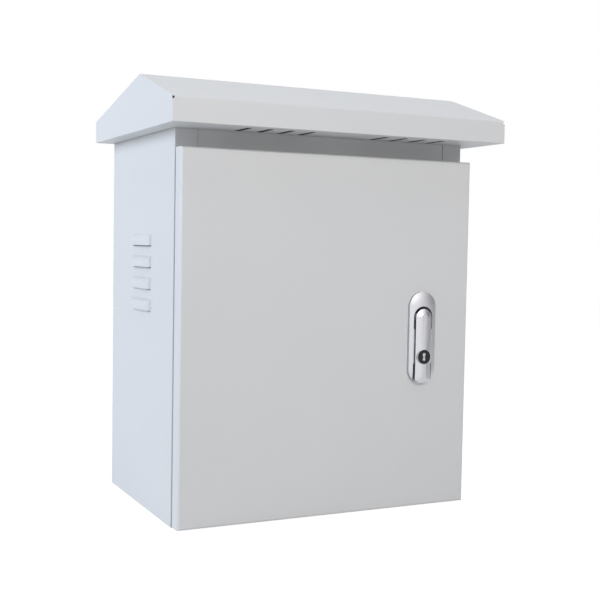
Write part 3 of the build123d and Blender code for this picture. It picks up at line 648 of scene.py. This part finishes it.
def roundedAbout(tree, cylinder, rule):
    # Moves each point of a cylinder to the radius that the rule gives for its height and its angle
    place = pointPlace(tree)
    angle = calculate(tree, "ARCTAN2", place["Y"], place["X"])
    radius = rule(place["Z"], angle)
    spot = addNode(tree, "ShaderNodeCombineXYZ", links={
        "X": calculate(tree, "MULTIPLY", radius, calculate(tree, "COSINE", angle)),
        "Y": calculate(tree, "MULTIPLY", radius, calculate(tree, "SINE", angle)),
        "Z": place["Z"]})
    moved = addNode(tree, "GeometryNodeSetPosition", links={"Geometry": cylinder, "Position": spot.outputs[0]})
    return moved.outputs[0]


def bevelLimit(tree, given, z, slope):
    # The largest radius that the end bevel leaves at this height
    half = calculate(tree, "MULTIPLY", given["Length"], 0.5)
    toEnd = calculate(tree, "SUBTRACT", half, calculate(tree, "ABSOLUTE", z))
    atEnd = calculate(tree, "SUBTRACT", given["Radius"], given["Bevel"])
    return calculate(tree, "ADD", atEnd, calculate(tree, "MULTIPLY", toEnd, slope))


fullTurn = 6.28   # radians
commonInputs = {
    "Radius": ("Float", 0.004), "Length": ("Float", 0.02), "Bevel": ("Float", 0.001),
    "Axis": ("Vector", (0, 0, 1)), "Spin": ("Float", fullTurn), "Seed": ("Int", 7), "Finish": ("Material", None),
}
rodInputs = {
    **commonInputs, "Pitch": ("Float", 0.00125), "Depth": ("Float", 0.0006), "Sides": ("Int", 20), "Rings": ("Int", 60),
}
nutShape = {"sides": 48, "rings": 10, "cornerSlope": 1.7}


def threadedRodTree():
    tree, given = startTree("threadedRod", rodInputs)
    rod = addNode(tree, "GeometryNodeMeshCylinder", links={
        "Vertices": given["Sides"], "Side Segments": given["Rings"],
        "Radius": given["Radius"], "Depth": given["Length"]})

    def threadRule(z, angle):
        pitches = calculate(tree, "DIVIDE", z, given["Pitch"])
        turns = calculate(tree, "SUBTRACT", pitches, calculate(tree, "DIVIDE", angle, 2 * math.pi))
        flank = calculate(tree, "PINGPONG", turns, 0.5)
        cut = calculate(tree, "MULTIPLY", flank, calculate(tree, "MULTIPLY", given["Depth"], 2.0))
        thread = calculate(tree, "SUBTRACT", given["Radius"], cut)
        return calculate(tree, "MINIMUM", thread, bevelLimit(tree, given, z, 1.0))

    spreadAlongAxis(tree, roundedAbout(tree, rod.outputs[0], threadRule), given, True)
    return tree


def hexNutTree(s):
    tree, given = startTree("hexNut", commonInputs)
    block = addNode(tree, "GeometryNodeMeshCylinder", inputs={"Vertices": s["sides"], "Side Segments": s["rings"]},
                    links={"Radius": given["Radius"], "Depth": given["Length"]})

    def hexRule(z, angle):
        # Radius is half the width across the flats; the bevel takes the six corners off at each end
        turned = calculate(tree, "ADD", angle, math.pi / 6)
        side = calculate(tree, "SUBTRACT", calculate(tree, "FLOORED_MODULO", turned, math.pi / 3), math.pi / 6)
        hexagon = calculate(tree, "DIVIDE", given["Radius"], calculate(tree, "COSINE", side))
        return calculate(tree, "MINIMUM", hexagon, bevelLimit(tree, given, z, s["cornerSlope"]))

    spreadAlongAxis(tree, roundedAbout(tree, block.outputs[0], hexRule), given, False)
    return tree


def growMesh(tree, points, values, edges=()):
    # Runs a tree on a few points and returns the result as a plain mesh
    seed = bpy.data.meshes.new("seed")
    seed.from_pydata(points, edges, [])
    holder = bpy.data.objects.new("seed", seed)
    bpy.context.scene.collection.objects.link(holder)
    modifier = holder.modifiers.new("grow", "NODES")
    modifier.node_group = tree
    for item in tree.interface.items_tree:
        if item.in_out == "INPUT" and item.name in values:
            modifier[item.identifier] = values[item.name]
    holder.update_tag()
    graph = bpy.context.evaluated_depsgraph_get()
    mesh = bpy.data.meshes.new_from_object(holder.evaluated_get(graph))
    holder.modifiers.remove(modifier)
    bpy.data.objects.remove(holder)
    bpy.data.meshes.remove(seed)
    return mesh


# Threads: node, body axis, thread radius, pitch, depth, end bevel, all in mm
threads = {
    "plateStuds": ("plate_studs", "Y", 4.0, 1.25, 0.70, 0.9),
    "glandStuds": ("gland_studs", "Z", 2.5, 0.80, 0.45, 0.6),
    "bodyEarthStud": ("body_earth_stud", "Z", 3.0, 1.00, 0.55, 0.7),
    "doorEarthStud": ("door_earth_stud", "Y", 3.0, 1.00, 0.55, 0.7),
}
# Nuts: node, axis, width across the flats, corner bevel, washer radius and thickness (0 for none), side of the washer
nuts = {
    "plateNuts": ("plate_nuts", "Y", 13.0, 0.55, 0.0, 0.0, 0),
    "glandNuts": ("gland_nuts", "Z", 8.0, 0.40, 0.0, 0.0, 0),
    "bodyEarthNut": ("body_earth_nut", "Z", 10.0, 0.45, 6.0, 1.2, 1),
    "doorEarthNut": ("door_earth_nut", "Y", 10.0, 0.45, 6.0, 1.2, 1),
    "hingeNuts": ("hinge_nuts", "Y", 6.5, 0.30, 0.0, 0.0, 0),
    "camNut": ("cam_nut", "Y", 10.0, 0.45, 0.0, 0.0, 0),
    "lockStudNut": ("lock_stud_nut", "Y", 10.0, 0.45, 0.0, 0.0, 0),
}
rodShape = {"sides": 20, "ringsPerTurn": 5}
washerShape = {"bevel": 0.15, "sides": 32, "rings": 8}   # bevel in mm
axes = {"X": (1.0, 0.0, 0.0), "Y": (0.0, 1.0, 0.0), "Z": (0.0, 0.0, 1.0)}
rodTree, nutTree = threadedRodTree(), hexNutTree(nutShape)


def fastenerRun(tree, name, axis, radius, bevel, middles, length, seed, spin, **more):
    values = {"Radius": radius * mm, "Length": length, "Bevel": bevel * mm, "Axis": axes[axis],
              "Spin": spin, "Seed": seed, "Finish": finishes[slotOf[name]], **more}
    return growMesh(tree, middles, values)


def makeRods(seed, pieceName, name, axis, radius, pitch, depth, bevel, s):
    boxes = islands(name)
    middles = [tuple((low + high) / 2) for low, high in boxes]
    length = (boxes[0][1] - boxes[0][0])["XYZ".index(axis)]
    rings = int(length / (pitch * mm) * s["ringsPerTurn"])
    mesh = fastenerRun(rodTree, name, axis, radius, bevel, middles, length, seed, fullTurn,
                       Pitch=pitch * mm, Depth=depth * mm, Sides=s["sides"], Rings=rings)
    addPiece(mesh, pieceName, name)
    print("  piece", pieceName, len(boxes), "rods,", len(mesh.polygons), "faces")


def joinMesh(mesh, other):
    both = bmesh.new()
    both.from_mesh(mesh)
    both.from_mesh(other)
    both.to_mesh(mesh)
    both.free()
    bpy.data.meshes.remove(other)


def makeNuts(seed, pieceName, name, axis, across, bevel, washer, thick, side, s):
    boxes = islands(name)
    along = Vector(axes[axis])
    length = (boxes[0][1] - boxes[0][0])["XYZ".index(axis)] - thick * mm
    middles = [tuple((low + high) / 2 + along * (side * thick * mm / 2)) for low, high in boxes]
    mesh = fastenerRun(nutTree, name, axis, across / 2, bevel, middles, length, seed, 0.0)
    if washer:
        # Between the nut and the sheet lies one plain flat washer
        feet = [tuple((low + high) / 2 - along * (side * length / 2)) for low, high in boxes]
        joinMesh(mesh, fastenerRun(rodTree, name, axis, washer, s["bevel"], feet, thick * mm, seed, 0.0,
                                   Pitch=mm, Depth=0.0, Sides=s["sides"], Rings=s["rings"]))
    print("  piece", pieceName, len(boxes), "nuts,", len(mesh.polygons), "faces")
    evenNormals(addPiece(mesh, pieceName, name))


for seed, (pieceName, sizes) in enumerate(threads.items()):
    makeRods(seed, pieceName, *sizes, rodShape)
for seed, (pieceName, sizes) in enumerate(nuts.items()):
    makeNuts(seed, pieceName, *sizes, washerShape)
print("stage: threads and nuts")

# Fine black mesh lies on the soffit behind its slots, in mm: painted shade, a dark sheet that makes the slots as dark
# as the shade inside the hood
slotShade = {
    "middles": ((-82.75, -152.5), (100.75, -152.5)), "above": 473.55,
    "wide": 94.0, "deep": 45.0, "pitch": 1.5, "wire": 0.22,
}


def shadeMeshTree():
    tree, given = startTree("shadeMesh", {
        "Wide": ("Float", 0.09), "Deep": ("Float", 0.038), "Across": ("Int", 60), "Along": ("Int", 24),
        "Wire": ("Float", 0.0002), "Finish": ("Material", None)})
    grid = addNode(tree, "GeometryNodeMeshGrid", links={
        "Size X": given["Wide"], "Size Y": given["Deep"], "Vertices X": given["Across"], "Vertices Y": given["Along"]})
    wires = addNode(tree, "GeometryNodeMeshToCurve", links={"Mesh": grid.outputs[0]})
    section = addNode(tree, "GeometryNodeCurvePrimitiveCircle", inputs={"Resolution": 4},
                      links={"Radius": given["Wire"]})
    woven = addNode(tree, "GeometryNodeCurveToMesh", links={
        "Curve": wires.outputs[0], "Profile Curve": section.outputs[0]})
    spread = addNode(tree, "GeometryNodeInstanceOnPoints", links={
        "Points": given["Geometry"], "Instance": woven.outputs[0]})
    endTree(tree, spread.outputs[0], given)
    return tree


# This black mesh is painted shade: it darkens the slots where the inside of the hood would only be in shade
def layShadeMesh(s):
    places = [(x * mm, y * mm, s["above"] * mm) for x, y in s["middles"]]
    mesh = growMesh(shadeMeshTree(), places, {
        "Wide": s["wide"] * mm, "Deep": s["deep"] * mm,
        "Across": int(s["wide"] / s["pitch"]) + 1, "Along": int(s["deep"] / s["pitch"]) + 1,
        "Wire": s["wire"] * mm, "Finish": finishes["black_plastic"]})
    piece = placeMesh(mesh, "slotShadeMesh", "black_plastic")
    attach(piece, "cabinet")
    print("  piece slotShadeMesh", len(mesh.polygons), "faces")


layShadeMesh(slotShade)

# The door's foamed seal: a crowned bead laid round the door in one run, in mm
seal = {
    "width": 12.0, "corner": 14.0, "cornerSteps": 10, "crown": 0.62, "ripple": 0.18, "rippleLength": 26.0,
    "section": 28, "every": 4.0, "merge": 0.001,
}


def foamedSealTree(s):
    tree, given = startTree("foamedSeal", {
        "Width": ("Float", 0.012), "Height": ("Float", 0.0127), "Corner": ("Float", 0.014), "Crown": ("Float", 0.6),
        "Ripple": ("Float", 0.0002), "Ripple Length": ("Float", 0.026), "Sections": ("Int", 28),
        "Base": ("Float", 0.0), "Finish": ("Material", None)})
    path = addNode(tree, "GeometryNodeMeshToCurve", links={"Mesh": given["Geometry"]})
    rounded = addNode(tree, "GeometryNodeFilletCurve", {"mode": "POLY"},
                      {"Count": s["cornerSteps"], "Limit Radius": True},
                      {"Curve": path.outputs[0], "Radius": given["Corner"]})
    ring = addNode(tree, "GeometryNodeCurvePrimitiveCircle", inputs={"Radius": 1.0},
                   links={"Resolution": given["Sections"]})
    place = pointPlace(tree)
    lift = calculate(tree, "POWER", calculate(tree, "MAXIMUM", place["Y"], 0.0), given["Crown"])
    flat = addNode(tree, "ShaderNodeCombineXYZ", links={
        "Y": calculate(tree, "MULTIPLY", calculate(tree, "MULTIPLY", place["X"], 0.5), given["Width"]),
        "X": calculate(tree, "MULTIPLY", lift, calculate(tree, "MULTIPLY", given["Height"], -1.0))})
    section = addNode(tree, "GeometryNodeSetPosition", links={"Geometry": ring.outputs[0], "Position": flat.outputs[0]})
    fine = addNode(tree, "GeometryNodeResampleCurve", {"mode": "LENGTH"}, {"Length": s["every"] * mm},
                   {"Curve": rounded.outputs[0]})
    bead = addNode(tree, "GeometryNodeCurveToMesh", links={
        "Curve": fine.outputs[0], "Profile Curve": section.outputs[0]})
    # The foam rises unevenly: its crown waves by a few tenths along the run, and its foot stays flat on the door
    height = calculate(tree, "ABSOLUTE", calculate(tree, "SUBTRACT", pointPlace(tree)["Y"], given["Base"]))
    share = calculate(tree, "DIVIDE", height, given["Height"])
    scale = calculate(tree, "DIVIDE", 1.0, given["Ripple Length"])
    wave = addNode(tree, "ShaderNodeTexNoise", inputs={"Detail": 1.0}, links={"Scale": scale})
    rise = calculate(tree, "MULTIPLY", wave.outputs[0], share)
    dip = calculate(tree, "MULTIPLY", rise, calculate(tree, "MULTIPLY", given["Ripple"], -1.0))
    shift = addNode(tree, "ShaderNodeCombineXYZ", links={"Y": dip})
    waved = addNode(tree, "GeometryNodeSetPosition", links={"Geometry": bead.outputs[0], "Offset": shift.outputs[0]})
    soft = addNode(tree, "GeometryNodeSetShadeSmooth", links={"Geometry": waved.outputs[0]})
    endTree(tree, soft.outputs[0], given)
    return tree


def layFoamedSeal(s):
    # Laid on the door's inner face along the middle of the CAD seal
    low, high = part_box("door_gasket")
    half = s["width"] / 2 * mm
    x0, x1, z0, z1 = low.x + half, high.x - half, low.z + half, high.z - half
    corners = [(x0, low.y, z0), (x1, low.y, z0), (x1, low.y, z1), (x0, low.y, z1)]
    values = {"Width": s["width"] * mm, "Height": high.y - low.y, "Corner": s["corner"] * mm, "Crown": s["crown"],
              "Ripple": s["ripple"] * mm, "Ripple Length": s["rippleLength"] * mm, "Sections": s["section"],
              "Base": low.y, "Finish": finishes[slotOf["door_gasket"]]}
    mesh = growMesh(foamedSealTree(s), corners, values, edges=[(0, 1), (1, 2), (2, 3), (3, 0)])
    bm = bmesh.new()
    bm.from_mesh(mesh)
    bmesh.ops.remove_doubles(bm, verts=bm.verts, dist=s["merge"] * mm)
    bmesh.ops.recalc_face_normals(bm, faces=bm.faces)
    bm.to_mesh(mesh)
    bm.free()
    ys = [v.co.y for v in mesh.vertices]
    print("  piece foamedDoorSeal", len(mesh.polygons), "faces, y", round(min(ys), 4), round(max(ys), 4),
          "CAD y", round(low.y, 4), round(high.y, 4))
    addPiece(mesh, "foamedDoorSeal", "door_gasket")


layFoamedSeal(seal)
print("stage: screens and seal")
